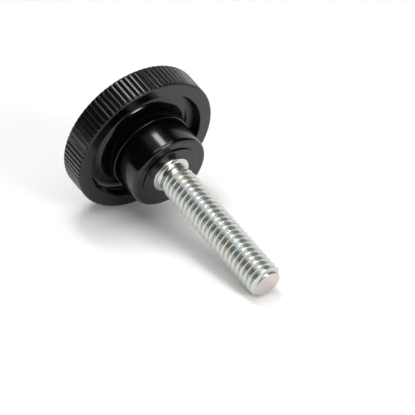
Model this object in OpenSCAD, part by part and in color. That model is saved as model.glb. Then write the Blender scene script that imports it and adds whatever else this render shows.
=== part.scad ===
// Tension knob: a round head with fine finger ribs and a hub, moulded round the foot of a threaded stud.
// The outer face lies at z = 0 and the stud points along +Z. Sizes are in millimetres.

/* [Head] */
// Diameter over the ribs, at the outer face
head_d = 35.8; // [30:0.1:44]
// Thickness of the head at its rim
head_h = 6.9; // [5.4:0.1:9]
// How far the rim's radius shrinks towards the stud's side
rim_taper = 0.08; // [0.02:0.02:0.3]
// Round on the edge of the outer face
face_edge = 0.2; // [0.1:0.05:0.6]
// Round on the rim's edge, on the stud's side
rim_edge = 0.25; // [0.1:0.05:0.6]

/* [Ribs] */
// Distance from rib to rib round the rim
rib_pitch = 1.31; // [1:0.01:2.2]
// Depth of the groove between two ribs
groove_depth = 0.4; // [0.2:0.05:0.7]
// Width of the groove at its mouth
groove_w = 0.75; // [0.4:0.05:0.9]
// Width of the groove at its root
groove_root_w = 0.25; // [0.1:0.05:0.35]
// Plain lip between the end of the grooves and the front ring
lip_h = 0.45; // [0.35:0.05:1.5]

/* [Recess] */
// Width of the front ring between the rim and the recess
ring_w = 3.3; // [1.8:0.05:4.5]
// Depth of the recess below the front ring
recess_depth = 3; // [2:0.1:4.5]
// How far the recess's outer wall leans inwards down to the floor
recess_draft = 0.15; // [0.05:0.05:0.4]
// Round on the lip of the recess
recess_lip = 0.2; // [0.1:0.05:0.6]
// Round between the recess's outer wall and its floor
recess_fillet = 1.6; // [0.4:0.1:2]
// Round between the recess's floor and the foot of the hub
hub_fillet = 1.8; // [0.6:0.1:3]
// Least width of the flat floor between those two rounds
floor_w = 0.3; // [0.1:0.1:0.6]

/* [Hub] */
// Diameter of the hub above its ledge
hub_d = 19.5; // [16:0.1:22]
// Height of the hub's end face above the front ring
hub_h = 9.4; // [7:0.1:15]
// How far the hub's radius shrinks from the ledge to the end
hub_taper = 0.15; // [0.05:0.05:0.5]
// Round on the edge of the hub's end
hub_edge = 0.8; // [0.2:0.1:1.2]
// Height of the ledge above the front ring
ledge_h = 1.85; // [0.5:0.05:3.5]
// Width of the ledge
ledge_w = 0.2; // [0.1:0.05:0.6]
// Distance of the raised pad from the hub's side
pad_inset = 2.5; // [1.5:0.1:3]
// Height of the raised pad
pad_h = 0.35; // [0.1:0.05:0.8]

/* [Stud] */
// Major diameter of the thread
thread_d = 7.9; // [5.5:0.05:8.5]
// Distance from crest to crest of the thread
thread_pitch = 1.411; // [0.8:0.001:1.6]
// Length of the stud beyond the pad
stud_l = 36.65; // [15:0.05:65]
// Chamfer at the stud's tip
tip_chamfer = 0.85; // [0.3:0.05:1.4]
// Depth of the plain neck below the crests, as a share of the thread's depth
neck_cut = 0.7; // [0.3:0.05:0.9]
// Least length of the plain neck between the collar and the thread
neck_l = 1; // [0.2:0.1:4]
// Diameter of the collar
collar_d = 9.3; // [8.8:0.1:10.5]
// How far the collar stands out of the pad
collar_h = 0.3; // [0.1:0.05:1]
// Chamfer on the collar's edge
collar_edge = 0.2; // [0.05:0.05:0.5]

/* [Moulded-in foot] */
// Length of the collar inside the hub
collar_in = 2.8; // [1:0.1:4]
// Diameter of the waist between the collar and the foot
waist_d = 7; // [5:0.1:8]
// Length of the waist
waist_l = 3.3; // [1.5:0.1:4.5]
// Size of the hexagonal foot across its flats
foot_af = 10.6; // [9:0.1:12]
// Height of the foot
foot_h = 4.4; // [2:0.1:5.5]

/* [Hidden] */

$fn = 96;
arc_steps = 6;
cut_over = 1;
hex_sides = 6;
flank_angle = 30;

face_r = head_d / 2;
rim_r = face_r - rim_taper;
rib_count = round(PI * head_d / rib_pitch);
groove_flare = (groove_w - groove_root_w) / groove_depth;

hub_r = hub_d / 2;
hub_end_r = hub_r - hub_taper;
hub_foot_r = hub_r + ledge_w;
pad_r = hub_end_r - pad_inset;

recess_r = rim_r - ring_w;
recess_foot_r = recess_r - recess_draft;
recess_z = head_h - recess_depth;
recess_round = min(recess_fillet, (recess_foot_r - hub_foot_r) / 2 - floor_w, recess_depth - recess_lip);
hub_round = min(hub_fillet, recess_foot_r - hub_foot_r - recess_round - floor_w);

ledge_z = head_h + ledge_h;
hub_z = head_h + hub_h;
pad_z = hub_z + pad_h;

collar_r = collar_d / 2;
collar_z = pad_z + collar_h;
collar_foot_z = pad_z - collar_in;
waist_r = waist_d / 2;
foot_z = collar_foot_z - waist_l - foot_h;
foot_corner_d = foot_af / cos(180 / hex_sides);

crest_w = thread_pitch / 8;
flank_w = thread_pitch * 5 / 16;
thread_depth = flank_w / tan(flank_angle);
thread_r = thread_d / 2;
root_r = thread_r - thread_depth;
tip_z = pad_z + stud_l;
tip_r = thread_r - tip_chamfer;
last_crest_z = tip_z - tip_chamfer;
turns = floor((last_crest_z - collar_z - neck_l) / thread_pitch);
thread_z = last_crest_z - turns * thread_pitch;
neck_r = thread_r - neck_cut * thread_depth;
neck_z = thread_z + neck_cut * flank_w;

// Points of an arc about [x, y], from one angle to another
function arc(x, y, r, from, to) =
    [for (i = [0 : arc_steps])
        let (a = from + (to - from) * i / arc_steps)
        [x + r * cos(a), y + r * sin(a)]];

// One ridge of the thread, from the root below it to the upper end of its crest
function ridge(top) = [
    [root_r, top - thread_pitch + flank_w],
    [root_r, top - crest_w - flank_w],
    [thread_r, top - crest_w],
    [thread_r, top]
];

// Half section of the head and hub: outer face, rim, front ring, recess, hub, pad
module head_section() {
    polygon(concat(
        [[0, 0]],
        arc(face_r - face_edge, face_edge, face_edge, -90, 0),
        arc(rim_r - rim_edge, head_h - rim_edge, rim_edge, 0, 90),
        arc(recess_r + recess_lip, head_h - recess_lip, recess_lip, 90, 180),
        arc(recess_foot_r - recess_round, recess_z + recess_round, recess_round, 0, -90),
        arc(hub_foot_r + hub_round, recess_z + hub_round, hub_round, -90, -180),
        [[hub_foot_r, ledge_z], [hub_r, ledge_z]],
        arc(hub_end_r - hub_edge, hub_z - hub_edge, hub_edge, 0, 90),
        [[pad_r, hub_z], [pad_r, pad_z], [0, pad_z]]
    ));
}

// One groove between two ribs, open at the outer face and blind at the lip
module rib_groove() {
    root_x = face_r - groove_depth;
    mouth_w = groove_w + groove_flare * cut_over;
    translate([0, 0, -cut_over])
        linear_extrude(height = head_h - lip_h + cut_over)
            polygon([
                [root_x, -groove_root_w / 2],
                [face_r + cut_over, -mouth_w / 2],
                [face_r + cut_over, mouth_w / 2],
                [root_x, groove_root_w / 2]
            ]);
}

// The collar, the waist and the hexagonal foot that the hub is moulded round
module stud_foot() {
    rotate_extrude()
        polygon([
            [0, foot_z],
            [waist_r, foot_z],
            [waist_r, collar_foot_z],
            [collar_r, collar_foot_z],
            [collar_r, collar_z - collar_edge],
            [collar_r - collar_edge, collar_z],
            [0, collar_z]
        ]);
    translate([0, 0, foot_z])
        cylinder(d = foot_corner_d, h = foot_h, $fn = hex_sides);
}

// The shank beyond the collar: plain neck, the thread as ring-shaped ridges, chamfered tip
module stud_shank() {
    rotate_extrude()
        polygon(concat(
            [[0, pad_z], [neck_r, pad_z], [neck_r, neck_z]],
            [for (i = [turns - 1 : -1 : 0]) each ridge(last_crest_z - i * thread_pitch)],
            [[tip_r, tip_z], [0, tip_z]]
        ));
}

module knob_head() {
    color("#1b1b1d")
        difference() {
            rotate_extrude() head_section();
            for (i = [0 : rib_count - 1])
                rotate(i * 360 / rib_count) rib_groove();
            stud_foot();
        }
}

module threaded_stud() {
    color("#b9bdbc")
        union() {
            stud_foot();
            stud_shank();
        }
}

knob_head();
threaded_stud();
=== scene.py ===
"""A tension knob: a ribbed black head on a plated threaded stud, lying on a pale studio floor."""

from math import asin, atan2, cos, hypot, pi, radians, sin, tan

import bmesh
import bpy
from mathutils import Matrix, Quaternion, Vector


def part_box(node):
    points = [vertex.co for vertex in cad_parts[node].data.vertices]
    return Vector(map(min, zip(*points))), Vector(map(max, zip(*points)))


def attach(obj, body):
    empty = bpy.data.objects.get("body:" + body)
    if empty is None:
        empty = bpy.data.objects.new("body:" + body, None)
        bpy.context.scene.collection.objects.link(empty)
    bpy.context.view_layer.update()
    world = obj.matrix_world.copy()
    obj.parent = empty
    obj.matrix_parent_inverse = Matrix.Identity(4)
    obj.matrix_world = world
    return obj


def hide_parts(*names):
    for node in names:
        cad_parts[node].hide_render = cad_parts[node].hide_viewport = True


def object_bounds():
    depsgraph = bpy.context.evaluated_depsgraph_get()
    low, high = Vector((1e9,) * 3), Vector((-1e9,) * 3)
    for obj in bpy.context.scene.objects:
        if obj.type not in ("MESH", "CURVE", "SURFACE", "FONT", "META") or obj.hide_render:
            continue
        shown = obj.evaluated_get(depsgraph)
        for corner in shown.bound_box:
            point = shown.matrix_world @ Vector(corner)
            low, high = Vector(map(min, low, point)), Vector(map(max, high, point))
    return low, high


bl_info = {
    "name": "Tension knob",
    "version": (1, 0, 0),
    "blender": (4, 5, 0),
    "location": "View3D > Sidebar > Knob",
    "description": "Models a ribbed tension knob on a plated stud, and the studio it is seen in",
    "category": "Add Mesh",
}

MM = 0.001

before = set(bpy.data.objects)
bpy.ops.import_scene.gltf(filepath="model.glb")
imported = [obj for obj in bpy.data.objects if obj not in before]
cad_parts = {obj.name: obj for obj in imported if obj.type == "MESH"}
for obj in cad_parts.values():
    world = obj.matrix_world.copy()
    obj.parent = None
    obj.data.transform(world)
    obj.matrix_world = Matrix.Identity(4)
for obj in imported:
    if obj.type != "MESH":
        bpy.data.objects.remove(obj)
CAD_LOW, CAD_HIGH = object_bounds()
MIDDLE = (CAD_LOW + CAD_HIGH) / 2
HEAD_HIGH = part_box("knob_head")[1]
STUD_LOW, STUD_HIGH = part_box("threaded_stud")
RIM_R = HEAD_HIGH.x
THREAD_R = 3.95 * MM
COLLAR_R = 4.65 * MM
TIP_Z = STUD_HIGH.z

# Distances at which points are one point, lie at one level, and are cut by a plane
WELD = 0.001 * MM
SAME_LEVEL = 10 * WELD
CUT = WELD / 100

# Steps of a round: a tiny one, the one on the ledge, a usual one, and one that catches the light
TINY_STEPS = 3
LEDGE_STEPS = 4
ARC_STEPS = 6
FINE_STEPS = 10

# Distance from the ends of a straight stretch to the points that keep its shading flat
EASE = 0.06 * MM

# Angle between two faces past which their edge is shaded sharp
SHARP = radians(38)

SENSOR_W = 36.0
WHITE = (1.0, 1.0, 1.0, 1.0)


def size(name, default, description):
    """A length that a user may change, in metres."""
    return bpy.props.FloatProperty(
        name=name, description=description, default=default, min=0.0, unit="LENGTH", precision=5
    )


def angle(name, default, description):
    """An angle that a user may change, given in degrees and kept in radians."""
    return bpy.props.FloatProperty(
        name=name, description=description, default=radians(default), subtype="ANGLE"
    )


def level(name, default, description):
    """A strength or share that a user may change."""
    return bpy.props.FloatProperty(name=name, description=description, default=default, min=0.0)


def colour(name, default, description):
    """A surface colour that a user may change."""
    return bpy.props.FloatVectorProperty(
        name=name, description=description, default=default, min=0.0, max=1.0, subtype="COLOR"
    )


class HeadSizes(bpy.types.PropertyGroup):
    """Sizes of the moulded head."""

    face_r: size("Face radius", RIM_R, "Radius over the ribs at the outer face")
    rim_h: size("Rim thickness", 6.9 * MM, "Thickness of the head at its rim")
    rim_taper: size("Rim taper", 0.08 * MM, "How far the rim shrinks towards the stud's side")
    face_edge: size("Face edge", 0.5 * MM, "Round on the edge of the outer face")
    rim_edge: size("Rim edge", 0.6 * MM, "Round on the rim's edge on the stud's side")
    ribs: bpy.props.IntProperty(name="Ribs", description="Finger ribs round the rim", default=86, min=3)
    groove_depth: size("Groove depth", 0.42 * MM, "Depth of the groove between two ribs")
    ring_w: size("Ring width", 3.3 * MM, "Width of the front ring between the rim and the recess")
    recess_depth: size("Recess depth", 3.0 * MM, "Depth of the recess below the front ring")
    recess_draft: size("Recess draft", 0.15 * MM, "How far the recess's outer wall leans inwards")
    recess_lip: size("Recess lip", 0.2 * MM, "Round on the lip of the recess")
    recess_fillet: size("Recess fillet", 1.6 * MM, "Round between the recess's outer wall and floor")
    hub_fillet: size("Hub fillet", 1.8 * MM, "Round between the recess's floor and the hub")
    hub_r: size("Hub radius", 9.75 * MM, "Radius of the hub above its ledge")
    hub_taper: size("Hub taper", 0.15 * MM, "How far the hub shrinks towards its end")
    hub_edge: size("Hub edge", 0.8 * MM, "Round on the edge of the hub's end")
    ledge_h: size("Ledge height", 1.85 * MM, "Height of the hub's ledge above the front ring")
    ledge_w: size("Ledge width", 0.2 * MM, "Width of the hub's ledge")
    ledge_edge: size("Ledge edge", 0.14 * MM, "Round on the edge of the hub's ledge")
    pad_r: size("Pad radius", 7.1 * MM, "Radius of the raised pad on the hub's end")
    pad_h: size("Pad height", 0.35 * MM, "Height of the raised pad")
    pad_z: size("Pad level", HEAD_HIGH.z, "Level of the pad's face above the outer face")


class StudSizes(bpy.types.PropertyGroup):
    """Sizes of the threaded stud."""

    thread_r: size("Thread radius", THREAD_R, "Radius over the thread's crests")
    pitch: size("Pitch", 1.411 * MM, "Distance from crest to crest")
    crest_round: size("Crest round", 0.155 * MM, "Round on the crests of the rolled thread")
    root_round: size("Root round", 0.22 * MM, "Round at the roots of the thread")
    start: level("Thread start", 0.052, "Share of a turn by which the thread is turned round the stud")
    neck_r: size("Neck radius", 3.41 * MM, "Radius of the plain neck below the thread")
    neck_l: size("Neck length", 0.8 * MM, "Length of the hollow neck that flares out to the collar")
    run_in: size("Run-in", 2.3 * MM, "Length over which the thread grows out of the neck")
    collar_r: size("Collar radius", COLLAR_R, "Radius of the collar")
    collar_h: size("Collar height", 0.3 * MM, "How far the collar stands out of the pad")
    collar_edge: size("Collar edge", 0.2 * MM, "Bevel on the collar's edge")
    collar_in: size("Collar depth", 2.8 * MM, "Length of the collar inside the hub")
    waist_r: size("Waist radius", 3.5 * MM, "Radius of the waist between the collar and the foot")
    waist_l: size("Waist length", 3.3 * MM, "Length of the waist")
    foot_r: size("Foot radius", STUD_HIGH.x, "Radius over the corners of the hexagonal foot")
    foot_z: size("Foot level", STUD_LOW.z, "Level of the foot's underside")
    tip_z: size("Tip level", TIP_Z, "Level of the stud's tip")
    tip_chamfer: size("Tip chamfer", 0.85 * MM, "Chamfer at the stud's tip")


class Finishes(bpy.types.PropertyGroup):
    """Colours of the knob and its floor."""

    plastic: colour("Plastic", (0.0014, 0.0013, 0.0013), "Black of the moulded head")
    plastic_dust: colour("Dust", (0.06, 0.057, 0.055), "Dust and scuffs on the plastic")
    plate: colour("Plate", (0.64, 0.65, 0.60), "Zinc plate on the stud")
    plate_cool: colour("Cool plate", (0.59, 0.645, 0.64), "Bluish cast of the plate")
    plate_warm: colour("Warm plate", (0.70, 0.66, 0.55), "Yellowish cast of the plate")
    plate_dull: colour("Dull plate", (0.40, 0.40, 0.36), "Greyed plate in the scuffs")
    # Painted shade: a dark olive colour laid into the thread's roots, where shade falls between the
    # flanks.
    painted_root_shade: colour("Root plate", (0.26, 0.26, 0.22), "Dark olive plate at the thread's roots")
    # A pinkish colour laid on the stud's end face.
    end_face_pink: colour("End plate", (0.60, 0.55, 0.52), "Thin pinkish plate on the sheared end")
    floor: colour("Floor", (0.93, 0.925, 0.92), "Pale floor under the knob")
    floor_glow: level("Floor glow", 0.05, "Share of the floor that shows plain white in any light")


class StageSetup(bpy.types.PropertyGroup):
    """Camera, floor and light."""

    lens: bpy.props.FloatProperty(
        name="Lens", description="Focal length on a 36 mm sensor", default=141.02, min=1.0, unit="CAMERA"
    )
    azimuth: angle("Azimuth", 82.2, "Direction of the camera round the stud")
    elevation: angle("Elevation", 30.87, "Height of the camera above the outer face's plane")
    roll: angle("Roll", 138.60, "Turn of the camera about its own line of sight")
    distance: size("Distance", 355.10 * MM, "Distance of the camera from the point it looks at")
    aim: bpy.props.FloatVectorProperty(
        name="Aim",
        description="Point that the camera looks at",
        default=(-0.16 * MM, -1.16 * MM, 29.385 * MM),
        unit="LENGTH",
        precision=5,
    )
    lean: angle("Lean", 135.0, "Side of the head that lies on the floor, as an angle round the stud")
    floor_w: size("Floor width", 1.2, "Width of the floor")
    overhead: level("Overhead light", 0.98, "Power of the softbox overhead, in watts")
    front: level("Front light", 2.8, "Power of the broad softbox high in front, in watts")
    side: level("Side light", 1.5, "Power of the low softbox in front to the right, in watts")
    room: level("Room", 0.015, "Brightness of the dark room round the studio")
    ambient: level("Ambient light", 0.36, "Brightness of the room as it falls on the floor")
    sweep_turn: angle("Sweep direction", 20.0, "Middle of the white sweep, right of straight behind")
    sweep_rise: angle("Sweep height", 8.0, "Height of the middle of the white sweep over the floor")


class Section:
    """Half of a section in the XZ plane, drawn from point to point and then turned about Z."""

    def __init__(self, r, z):
        self.mesh = bmesh.new()
        self.pen = self.mesh.verts.new((r, 0.0, z))

    def move(self, point):
        """Draws one edge."""
        made = bmesh.ops.extrude_vert_indiv(self.mesh, verts=[self.pen])
        self.pen = made["verts"][0]
        self.pen.co = point

    def hidden(self, r, z):
        """Draws a straight stretch that no one sees."""
        self.move((r, 0.0, z))

    def line(self, r, z):
        """Draws a straight stretch, with a point just inside each end to keep its shading flat."""
        start = self.pen.co.copy()
        end = Vector((r, 0.0, z))
        ease = (end - start).normalized() * EASE
        if (end - start).length > 4 * EASE:
            self.move(start + ease)
            self.move(end - ease)
        self.move(end)

    def arc(self, r, z, degrees, steps=ARC_STEPS):
        """Draws an arc about a centre, anticlockwise for a positive angle."""
        made = bmesh.ops.spin(
            self.mesh,
            geom=[self.pen],
            cent=(r, 0.0, z),
            axis=(0.0, -1.0, 0.0),
            angle=radians(degrees),
            steps=steps,
        )
        self.pen = made["geom_last"][0]

    def turn(self, angle_turned, steps):
        """Turns the section through an angle and hands over the mesh."""
        bmesh.ops.spin(
            self.mesh,
            geom=self.mesh.verts[:] + self.mesh.edges[:],
            cent=(0.0, 0.0, 0.0),
            axis=(0.0, 0.0, 1.0),
            angle=angle_turned,
            steps=steps,
        )
        return self.mesh


def copy_round(mesh, count, lift=0.0):
    """Sets copies of a sector round the axis, or one above the other, and closes the seams."""
    bmesh.ops.spin(
        mesh,
        geom=mesh.verts[:] + mesh.edges[:] + mesh.faces[:],
        cent=(0.0, 0.0, 0.0),
        axis=(0.0, 0.0, 1.0),
        dvec=(0.0, 0.0, lift),
        angle=0.0 if lift else 2 * pi * (count - 1) / count,
        steps=count - 1,
        use_duplicate=True,
    )
    bmesh.ops.remove_doubles(mesh, verts=mesh.verts[:], dist=WELD)


class Value:
    """A shader socket that can be used in Python expressions."""

    def __init__(self, shader, socket):
        self.shader = shader
        self.socket = socket

    def math(self, operation, a, b):
        """Adds a Math node."""
        return self.shader.add("ShaderNodeMath", {"operation": operation}, {0: a, 1: b})

    def __add__(self, other):
        return self.math("ADD", self, other)

    __radd__ = __add__

    def __sub__(self, other):
        return self.math("SUBTRACT", self, other)

    def __rsub__(self, other):
        return self.math("SUBTRACT", other, self)

    def __mul__(self, other):
        return self.math("MULTIPLY", self, other)

    __rmul__ = __mul__

    def __truediv__(self, other):
        return self.math("DIVIDE", self, other)

    def __rtruediv__(self, other):
        return self.math("DIVIDE", other, self)

    def __pow__(self, other):
        return self.math("POWER", self, other)

    def __rpow__(self, other):
        return self.math("POWER", other, self)


class Shader:
    """The nodes of one material or of the world."""

    def __init__(self, owner):
        owner.use_nodes = True
        self.tree = owner.node_tree
        self.tree.nodes.clear()

    def add(self, kind, settings=None, sockets=None, out=0):
        """Adds a node, its settings first, then its sockets, and gives one of its outputs."""
        node = self.tree.nodes.new(kind)
        for name, value in (settings or {}).items():
            if name == "stops":
                self.set_stops(node.color_ramp, value)
            else:
                setattr(node, name, value)
        for name, value in (sockets or {}).items():
            if isinstance(value, Value):
                self.tree.links.new(value.socket, node.inputs[name])
            else:
                node.inputs[name].default_value = value
        return Value(self, node.outputs[out]) if len(node.outputs) else None

    @staticmethod
    def set_stops(ramp, stops):
        """Gives a ramp grey stops, each a position and a value."""
        while len(ramp.elements) < len(stops):
            ramp.elements.new(1.0)
        for element, (position, value) in zip(ramp.elements, stops):
            element.position = position
            element.color = (value, value, value, 1.0)

    def place(self):
        """The point on the piece, in the knob's own frame."""
        return self.add("ShaderNodeTexCoord", out="Object")

    def noise(self, vector, scale, detail=2.0, roughness=0.5):
        """Soft noise from 0 to 1."""
        return self.add(
            "ShaderNodeTexNoise",
            sockets={"Vector": vector, "Scale": scale, "Detail": detail, "Roughness": roughness},
            out="Fac",
        )

    def stretch(self, vector, scale):
        """The same point, stretched along its axes."""
        return self.add(
            "ShaderNodeMapping",
            {"vector_type": "POINT"},
            {"Vector": vector, "Scale": scale},
            out="Vector",
        )

    def ramp(self, value, *stops):
        """A value passed through grey stops."""
        return self.add("ShaderNodeValToRGB", {"stops": stops}, {"Fac": value}, out="Color")

    def blend(self, share, first, second):
        """One colour fading into another."""
        return self.add(
            "ShaderNodeMix", {"data_type": "RGBA"}, {"Factor": share, 6: first, 7: second}, out=2
        )

    def shown(self):
        """1 for rays that show a thing, straight or in a mirror, and 0 for those that light it."""
        node = self.add("ShaderNodeLightPath").socket.node
        straight = Value(self, node.outputs["Is Camera Ray"])
        mirrored = Value(self, node.outputs["Is Glossy Ray"])
        through = Value(self, node.outputs["Is Transmission Ray"])
        return self.add("ShaderNodeClamp", sockets={"Value": straight + mirrored + through})

    def parts(self, vector):
        """The three parts of a point."""
        node = self.add("ShaderNodeSeparateXYZ", sockets={"Vector": vector}).socket.node
        return [Value(self, out) for out in node.outputs]

    def radius(self, vector):
        """The distance of a point from the stud's axis."""
        x, y, _ = self.parts(vector)
        return (x * x + y * y) ** 0.5

    def surface(self, shader):
        """Ends a material with its surface."""
        self.add("ShaderNodeOutputMaterial", sockets={"Surface": shader})


def solid(colour_value):
    """A colour with its alpha."""
    return (*colour_value, 1.0)


def new_material(name):
    """An empty material and the nodes to fill it with."""
    material = bpy.data.materials.new(name)
    return material, Shader(material)


def black_plastic(finish):
    """Glossy moulded plastic with a faint grain, handling smears and a little dust."""
    material, s = new_material("moulded_black_plastic")
    at = s.place()
    grain = s.noise(at, scale=5200.0)
    smears = s.noise(at, scale=210.0, detail=3.0, roughness=0.6)
    specks = s.ramp(s.noise(at, scale=2600.0, detail=1.0), (0.72, 0.0), (0.80, 1.0))
    drift = s.ramp(s.noise(at, scale=120.0), (0.45, 0.0), (0.75, 1.0))
    dust = specks * drift
    rim = s.ramp(s.radius(at) / RIM_R, (0.965, 0.0), (0.975, 1.0))
    bump = s.add(
        "ShaderNodeBump",
        sockets={"Strength": 0.06, "Distance": 0.02 * MM, "Height": grain + smears},
        out="Normal",
    )
    s.surface(
        s.add(
            "ShaderNodeBsdfPrincipled",
            sockets={
                "Base Color": s.blend(dust * 0.35, solid(finish.plastic), solid(finish.plastic_dust)),
                "Roughness": 0.12 + smears * 0.08 + dust * 0.3 + rim * 0.07,
                "IOR": 1.50,
                "Normal": bump,
            },
        )
    )
    return material


def zinc_plate(finish):
    """Bright zinc on a rolled thread: a cool and warm cast, fine rolling lines, small scuffs, and
    painted shade darkening the thread's roots.
    """
    material, s = new_material("bright_zinc_plate")
    at = s.place()
    cast = s.ramp(s.noise(at, scale=420.0), (0.35, 0.0), (0.65, 1.0))
    patch = s.ramp(s.noise(at, scale=260.0, detail=3.0), (0.50, 0.0), (0.72, 1.0))
    rubbed = s.noise(s.stretch(at, (1.0, 1.0, 3.0)), scale=1900.0, detail=4.0, roughness=0.7)
    scuffs = s.ramp(rubbed, (0.56, 0.0), (0.74, 1.0))
    lines = s.noise(s.stretch(at, (1.0, 1.0, 9.0)), scale=2600.0)
    cooled = s.blend(cast, solid(finish.plate), solid(finish.plate_cool))
    tinted = s.blend(patch * 0.6, cooled, solid(finish.plate_warm))
    r = s.radius(at)
    height = s.parts(at)[2] / TIP_Z
    # Painted shade: a mask from the crests down to the thread's roots, where the plate is darkened.
    root = s.ramp(r / THREAD_R, (0.82, 1.0), (0.95, 0.0))
    end = s.ramp(height, (0.9988, 0.0), (0.9996, 1.0))
    neck = s.ramp(height, (0.34, 1.0), (0.37, 0.0))
    brim = s.ramp(r / COLLAR_R, (0.93, 0.0), (0.97, 1.0))
    tinted = s.blend(brim * 0.7, tinted, solid(finish.plate_warm))
    # Painted shade: the thread's roots are darkened, except on the neck.
    tinted = s.blend(root * (1.0 - neck) * 0.3, tinted, solid(finish.painted_root_shade))
    # The stud's end face takes the pinkish colour.
    tinted = s.blend(end, tinted, solid(finish.end_face_pink))
    rings = s.add(
        "ShaderNodeTexWave",
        {"wave_type": "BANDS", "bands_direction": "Z"},
        {"Vector": at, "Scale": 620.0, "Distortion": 1.0, "Detail": 1.0},
        out="Fac",
    )
    bump = s.add(
        "ShaderNodeBump",
        sockets={
            "Strength": 0.45,
            "Distance": 0.02 * MM,
            "Height": lines + scuffs * 0.6 + rings * neck * 1.5,
        },
        out="Normal",
    )
    s.surface(
        s.add(
            "ShaderNodeBsdfPrincipled",
            sockets={
                "Base Color": s.blend(scuffs * 0.5, tinted, solid(finish.plate_dull)),
                "Metallic": 0.78 - scuffs * 0.1 + neck * 0.16,
                "Roughness": 0.17 + scuffs * 0.16 + cast * 0.06,
                "Normal": bump,
            },
        )
    )
    return material


def pale_floor(finish):
    """A matt pale floor, which the camera sees through from below."""
    material, s = new_material("pale_floor")
    at = s.place()
    tone = s.noise(at, scale=9.0) * 0.02
    matt = s.add(
        "ShaderNodeBsdfPrincipled",
        sockets={
            "Base Color": s.blend(tone, solid(finish.floor), WHITE),
            "Roughness": 0.9,
            "Specular IOR Level": 0.1,
        },
    )
    below = s.add("ShaderNodeNewGeometry", out="Backfacing")
    seen = s.add("ShaderNodeLightPath", out="Is Camera Ray")
    shown = s.shown()
    white = s.add("ShaderNodeEmission", sockets={"Color": WHITE, "Strength": 1.0})
    lit = s.add("ShaderNodeMixShader", sockets={0: shown * finish.floor_glow, 1: matt, 2: white})
    clear = s.add("ShaderNodeBsdfTransparent")
    s.surface(s.add("ShaderNodeMixShader", sockets={0: below * seen, 1: lit, 2: clear}))
    return material


def add_piece(mesh, name, material, node):
    """Makes a finished mesh an object that rides on the knob in place of its CAD node."""
    data = bpy.data.meshes.new(name)
    mesh.to_mesh(data)
    mesh.free()
    data.shade_smooth()
    data.set_sharp_from_angle(angle=SHARP)
    data.materials.append(material)
    piece = bpy.data.objects.new(name, data)
    bpy.context.scene.collection.objects.link(piece)
    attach(piece, "root")
    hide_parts(node)


def draw_head(head, stud):
    """The head's half section, from the middle of the outer face round to the hole for the stud."""
    rim_r = head.face_r - head.rim_taper
    recess_r = rim_r - head.ring_w
    recess_foot_r = recess_r - head.recess_draft
    recess_z = head.rim_h - head.recess_depth
    hub_foot_r = head.hub_r + head.ledge_w
    hub_end_r = head.hub_r - head.hub_taper
    hub_z = head.pad_z - head.pad_h
    ledge_z = head.rim_h + head.ledge_h
    pad_edge = 2 * EASE
    collar_foot_z = head.pad_z - stud.collar_in
    waist_foot_z = collar_foot_z - stud.waist_l

    section = Section(0.0, 0.0)
    section.line(head.face_r - head.face_edge, 0.0)
    section.arc(head.face_r - head.face_edge, head.face_edge, 90)
    section.line(rim_r, head.rim_h - head.rim_edge)
    section.arc(rim_r - head.rim_edge, head.rim_h - head.rim_edge, 90, FINE_STEPS)
    section.line(recess_r + head.recess_lip, head.rim_h)
    section.arc(recess_r + head.recess_lip, head.rim_h - head.recess_lip, 90)
    section.line(recess_foot_r, recess_z + head.recess_fillet)
    section.arc(recess_foot_r - head.recess_fillet, recess_z + head.recess_fillet, -90)
    section.line(hub_foot_r + head.hub_fillet, recess_z)
    section.arc(hub_foot_r + head.hub_fillet, recess_z + head.hub_fillet, -90, FINE_STEPS)
    section.line(hub_foot_r, ledge_z - head.ledge_edge)
    section.arc(hub_foot_r - head.ledge_edge, ledge_z - head.ledge_edge, 90, LEDGE_STEPS)
    section.line(head.hub_r, ledge_z)
    section.line(hub_end_r, hub_z - head.hub_edge)
    section.arc(hub_end_r - head.hub_edge, hub_z - head.hub_edge, 90)
    section.line(head.pad_r, hub_z)
    section.line(head.pad_r, head.pad_z - pad_edge)
    section.arc(head.pad_r - pad_edge, head.pad_z - pad_edge, 90, TINY_STEPS)
    section.line(stud.collar_r, head.pad_z)
    section.hidden(stud.collar_r, collar_foot_z)
    section.hidden(stud.waist_r, collar_foot_z)
    section.hidden(stud.waist_r, waist_foot_z)
    section.hidden(stud.foot_r, waist_foot_z)
    section.hidden(stud.foot_r, stud.foot_z)
    section.hidden(0.0, stud.foot_z)
    return section


# A rib's outline from the middle of one land to the next.
# Each point has its share of the pitch and its share of the groove's depth.
RIB_SHAPE = (
    (0.0, 0.0),
    (0.27, 0.062),
    (0.29, 0.081),
    (0.305, 0.113),
    (0.315, 0.152),
    (0.43, 0.9),
    (0.5, 1.0),
    (0.57, 0.9),
    (0.685, 0.152),
    (0.695, 0.113),
    (0.71, 0.081),
    (0.73, 0.062),
)


def cut_groove(mesh, head):
    """Sinks one groove into a sector as wide as a rib. It runs out where the rim's edges round off."""
    root_r = head.face_r - head.groove_depth
    pitch = 2 * pi / head.ribs
    for vertex in mesh.verts:
        r = hypot(vertex.co.x, vertex.co.y)
        step = round(atan2(vertex.co.y, vertex.co.x) / pitch * len(RIB_SHAPE))
        share, depth = RIB_SHAPE[step % len(RIB_SHAPE)]
        turn = pitch * (step // len(RIB_SHAPE) + share)
        r += depth * min(root_r - r, 0.0)
        vertex.co.xy = (r * cos(turn), r * sin(turn))


class KNOB_OT_mould_head(bpy.types.Operator):
    """Model the black head with its ribs, recess and hub"""

    bl_idname = "knob.mould_head"
    bl_label = "Mould the head"

    def execute(self, context):
        scene = context.scene
        head = scene.knob_head
        mesh = draw_head(head, scene.knob_stud).turn(2 * pi / head.ribs, len(RIB_SHAPE))
        cut_groove(mesh, head)
        copy_round(mesh, head.ribs)
        bmesh.ops.recalc_face_normals(mesh, faces=mesh.faces[:])
        add_piece(mesh, "ribbed_head", black_plastic(scene.knob_finish), "knob_head")
        return {"FINISHED"}


# Steps in a turn of the thread, angle of its flanks, and degrees from the middle of a round to its flank
THREAD_STEPS = 72
FLANK = radians(30)
BEND = 60

HEX_SIDES = 6


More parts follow.
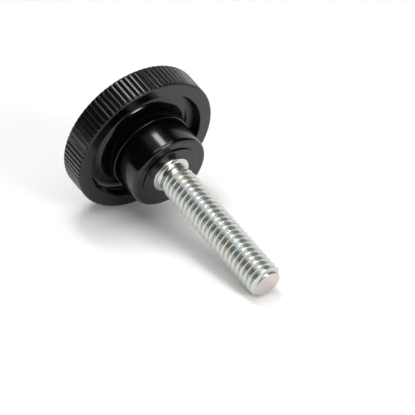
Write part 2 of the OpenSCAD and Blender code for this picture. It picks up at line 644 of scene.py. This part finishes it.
def thread_root(stud):
    """Radius at the thread's roots, with 60 degrees between the flanks."""
    rounds = stud.crest_round + stud.root_round
    rise = (stud.pitch / 2 - rounds * cos(FLANK)) / tan(FLANK)
    return stud.thread_r - rise - rounds * (1 - sin(FLANK))


def draw_thread(stud, foot):
    """One pitch of the thread's outline: half a root, a crest and half a root."""
    crest = stud.crest_round
    root = stud.root_round
    root_r = thread_root(stud)
    middle = foot + stud.pitch / 2
    end = foot + stud.pitch
    section = Section(root_r, foot)
    section.arc(root_r + root, foot, -BEND, TINY_STEPS)
    section.move((stud.thread_r - crest * (1 - sin(FLANK)), 0.0, middle - crest * cos(FLANK)))
    section.arc(stud.thread_r - crest, middle, 2 * BEND)
    section.move((root_r + root * (1 - sin(FLANK)), 0.0, end - root * cos(FLANK)))
    section.arc(root_r + root, end, -BEND, TINY_STEPS)
    return section.mesh


def wind_thread(stud, neck_z):
    """Winds the outline up the stud, lets the thread grow out of the neck, and chamfers the tip."""
    # The winding starts below the neck and ends above the tip, and what stands over is cut off
    foot = neck_z - (2 - stud.start) * stud.pitch
    turns = int((stud.tip_z - foot) / stud.pitch) + 2
    mesh = draw_thread(stud, foot)
    bmesh.ops.spin(
        mesh,
        geom=mesh.verts[:] + mesh.edges[:],
        cent=(0.0, 0.0, 0.0),
        axis=(0.0, 0.0, 1.0),
        dvec=(0.0, 0.0, stud.pitch / THREAD_STEPS),
        angle=2 * pi,
        steps=THREAD_STEPS,
    )
    copy_round(mesh, turns, stud.pitch)
    root_r = thread_root(stud)
    for vertex in mesh.verts:
        r = hypot(vertex.co.x, vertex.co.y)
        grown = min(max((vertex.co.z - neck_z) / stud.run_in, 0.0), 1.0)
        lowest = stud.neck_r + grown * (root_r - stud.neck_r)
        highest = stud.neck_r + grown * (stud.thread_r - stud.neck_r)
        highest = min(highest, stud.thread_r - stud.tip_chamfer + stud.tip_z - vertex.co.z)
        vertex.co.xy *= min(max(r, lowest), highest) / r
    for z, side in ((neck_z, -1.0), (stud.tip_z, 1.0)):
        bmesh.ops.bisect_plane(
            mesh,
            geom=mesh.verts[:] + mesh.edges[:] + mesh.faces[:],
            dist=CUT,
            plane_co=(0.0, 0.0, z),
            plane_no=(0.0, 0.0, side),
            clear_outer=True,
        )
    return mesh


def rim_edges(mesh, z):
    """The open edges of a mesh at one level."""
    return [e for e in mesh.edges if e.is_boundary and abs(e.verts[0].co.z - z) < SAME_LEVEL]


def round_ring(r):
    """A round outline: the same radius at every angle."""
    return lambda turn: r


def hexagon(r):
    """A hexagon's outline: its radius at an angle, given the radius at its corners."""
    half = pi / HEX_SIDES
    return lambda turn: r * cos(half) / cos((turn + half) % (2 * half) - half)


def grow_ring(mesh, edges, outline, z):
    """Extrudes an edge loop to a new outline and level, and gives the new loop."""
    made = bmesh.ops.extrude_edge_only(mesh, edges=edges)["geom"]
    for vertex in made:
        if isinstance(vertex, bmesh.types.BMVert):
            turn = atan2(vertex.co.y, vertex.co.x)
            r = outline(turn)
            vertex.co = (r * cos(turn), r * sin(turn), z)
    return [e for e in made if isinstance(e, bmesh.types.BMEdge)]


def flare(stud, neck_z, collar_z):
    """The loops of the hollow flare from the neck down to the collar: outline and level."""
    wide = stud.collar_r - stud.collar_edge
    for step in range(1, FINE_STEPS + 1):
        turn = pi / 2 * step / FINE_STEPS
        r = wide - (wide - stud.neck_r) * cos(turn)
        yield round_ring(r), neck_z - (neck_z - collar_z) * sin(turn)


class KNOB_OT_roll_stud(bpy.types.Operator):
    """Model the stud with its rolled thread, neck, collar and foot"""

    bl_idname = "knob.roll_stud"
    bl_label = "Roll the stud"

    def execute(self, context):
        scene = context.scene
        stud = scene.knob_stud
        pad_z = scene.knob_head.pad_z
        collar_z = pad_z + stud.collar_h
        collar_foot_z = pad_z - stud.collar_in
        waist_z = collar_foot_z - stud.waist_l
        neck_z = collar_z + stud.neck_l
        eased = stud.collar_edge / 3
        mesh = wind_thread(stud, neck_z)
        bmesh.ops.contextual_create(mesh, geom=rim_edges(mesh, stud.tip_z))
        loop = rim_edges(mesh, neck_z)
        for outline, z in (
            *flare(stud, neck_z, collar_z),
            (round_ring(stud.collar_r - eased), collar_z - eased),
            (round_ring(stud.collar_r), collar_z - stud.collar_edge),
            (round_ring(stud.collar_r), collar_foot_z),
            (round_ring(stud.waist_r), collar_foot_z),
            (round_ring(stud.waist_r), waist_z),
            (hexagon(stud.foot_r), waist_z),
            (hexagon(stud.foot_r), stud.foot_z),
        ):
            loop = grow_ring(mesh, loop, outline, z)
        bmesh.ops.contextual_create(mesh, geom=loop)
        bmesh.ops.recalc_face_normals(mesh, faces=mesh.faces[:])
        add_piece(mesh, "rolled_stud", zinc_plate(scene.knob_finish), "threaded_stud")
        return {"FINISHED"}


class Studio:
    """The floor that the knob lies on: a point, and the directions right, away and up."""

    def __init__(self, head, stud, stage):
        side = Vector((cos(stage.lean), sin(stage.lean), 0.0))
        rise = Vector((0.0, 0.0, 1.0))
        rim_r = head.face_r - head.rim_taper - head.rim_edge
        rim_z = head.rim_h - head.rim_edge
        fall = rim_r - stud.thread_r
        run = stud.tip_z - stud.tip_chamfer - rim_z
        slope = atan2(fall, run) + asin(head.rim_edge / hypot(fall, run))
        self.up = -(side * cos(slope) + rise * sin(slope))
        self.point = side * rim_r + rise * rim_z - self.up * head.rim_edge
        self.back = Vector(
            (
                sin(stage.azimuth) * cos(stage.elevation),
                -cos(stage.azimuth) * cos(stage.elevation),
                sin(stage.elevation),
            )
        )
        self.away = -(self.back - self.up * self.back.dot(self.up)).normalized()
        self.right = self.away.cross(self.up)

    def place(self, right, away, up):
        """A point, measured from the middle of the knob along the floor's own directions."""
        return MIDDLE + self.right * right + self.away * away + self.up * up

    def axes(self):
        """The floor's directions as a rotation."""
        return Matrix((self.right, self.away, self.up)).transposed()


def add_floor(studio, width, material):
    """Lays the floor under the knob."""
    mesh = bmesh.new()
    bmesh.ops.create_grid(mesh, x_segments=1, y_segments=1, size=width / 2)
    data = bpy.data.meshes.new("studio_floor")
    mesh.to_mesh(data)
    mesh.free()
    data.materials.append(material)
    floor = bpy.data.objects.new("studio_floor", data)
    bpy.context.scene.collection.objects.link(floor)
    floor.matrix_world = Matrix.Translation(studio.point) @ studio.axes().to_4x4()


# Each softbox: its name, its place right of, behind and above the knob's middle, and its two sides
SOFTBOXES = (
    ("overhead", (-0.106, 0.131, 0.575), (0.12, 0.24)),
    ("front", (0.03, -0.17, 0.68), (0.70, 0.70)),
    ("side", (0.364, -0.387, 0.27), (0.21, 0.19)),
)


def add_softbox(name, place, spread, power):
    """Hangs a rectangular light, aimed at the knob."""
    data = bpy.data.lights.new(name, "AREA")
    data.shape = "RECTANGLE"
    data.size, data.size_y = spread
    data.energy = power
    light = bpy.data.objects.new(name, data)
    bpy.context.scene.collection.objects.link(light)
    light.location = place
    light.rotation_mode = "QUATERNION"
    light.rotation_quaternion = (MIDDLE - place).to_track_quat("-Z", "Y")


def add_camera(studio, stage):
    """Sets up the camera, rolled so that the floor lies level in the picture."""
    data = bpy.data.cameras.new("camera")
    data.lens = stage.lens
    data.sensor_width = SENSOR_W
    camera = bpy.data.objects.new("camera", data)
    bpy.context.scene.collection.objects.link(camera)
    camera.location = Vector(stage.aim) + studio.back * stage.distance
    camera.rotation_mode = "QUATERNION"
    level_view = (-studio.back).to_track_quat("-Z", "Y")
    camera.rotation_quaternion = level_view @ Quaternion((0.0, 0.0, 1.0), stage.roll)
    bpy.context.scene.camera = camera


# Cosines of the angles from the middle of the sweep at which it ends, and within which it is white
SWEEP_END = 0.72
SWEEP_FULL = 0.92


def add_room(studio, stage):
    """A dark room with a white sweep behind the floor, and plain white past the floor for the camera."""
    behind = studio.away * cos(stage.sweep_turn) + studio.right * sin(stage.sweep_turn)
    middle = behind * cos(stage.sweep_rise) + studio.up * sin(stage.sweep_rise)
    world = bpy.data.worlds.new("room")
    bpy.context.scene.world = world
    s = Shader(world)
    ray = s.add("ShaderNodeTexCoord", out="Generated")
    facing = s.add(
        "ShaderNodeVectorMath",
        {"operation": "DOT_PRODUCT"},
        {0: ray, 1: middle},
        out="Value",
    )
    sweep = s.ramp(facing, (SWEEP_END, stage.room), (SWEEP_FULL, 1.0))
    falling = s.add("ShaderNodeLightPath", out="Is Diffuse Ray")
    seen = s.add("ShaderNodeLightPath", out="Is Camera Ray")
    lit = s.blend(falling, sweep, solid([stage.ambient] * 3))
    white = s.blend(seen, lit, WHITE)
    shade = s.add("ShaderNodeBackground", sockets={"Color": white, "Strength": 1.0})
    s.add("ShaderNodeOutputWorld", sockets={"Surface": shade})


class KNOB_OT_set_stage(bpy.types.Operator):
    """Lay the pale floor, hang the lights and set up the camera"""

    bl_idname = "knob.set_stage"
    bl_label = "Set the stage"

    def execute(self, context):
        scene = context.scene
        stage = scene.knob_stage
        studio = Studio(scene.knob_head, scene.knob_stud, stage)
        add_floor(studio, stage.floor_w, pale_floor(scene.knob_finish))
        for name, place, spread in SOFTBOXES:
            add_softbox(f"{name}_softbox", studio.place(*place), spread, getattr(stage, name))
        add_room(studio, stage)
        add_camera(studio, stage)
        scene.view_settings.view_transform = "Standard"
        return {"FINISHED"}


class KNOB_PT_sidebar(bpy.types.Panel):
    """Sizes, finishes and steps of the tension knob"""

    bl_label = "Tension knob"
    bl_idname = "KNOB_PT_sidebar"
    bl_space_type = "VIEW_3D"
    bl_region_type = "UI"
    bl_category = "Knob"

    def draw(self, context):
        column = self.layout.column()
        for step in STEPS:
            column.operator(step.bl_idname)
        for group in GROUPS:
            settings = getattr(context.scene, group)
            for name in settings.bl_rna.properties.keys():
                if name not in ("rna_type", "name"):
                    column.prop(settings, name)


STEPS = (KNOB_OT_mould_head, KNOB_OT_roll_stud, KNOB_OT_set_stage)
GROUPS = {
    "knob_head": HeadSizes,
    "knob_stud": StudSizes,
    "knob_finish": Finishes,
    "knob_stage": StageSetup,
}


def register():
    for each in (*GROUPS.values(), *STEPS, KNOB_PT_sidebar):
        bpy.utils.register_class(each)
    for name, group in GROUPS.items():
        setattr(bpy.types.Scene, name, bpy.props.PointerProperty(type=group))


def unregister():
    for name in GROUPS:
        delattr(bpy.types.Scene, name)
    for each in (KNOB_PT_sidebar, *reversed(STEPS), *GROUPS.values()):
        bpy.utils.unregister_class(each)


def main():
    """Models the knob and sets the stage."""
    register()
    bpy.ops.knob.mould_head()
    bpy.ops.knob.roll_stud()
    bpy.ops.knob.set_stage()


if __name__ == "__main__":
    main()
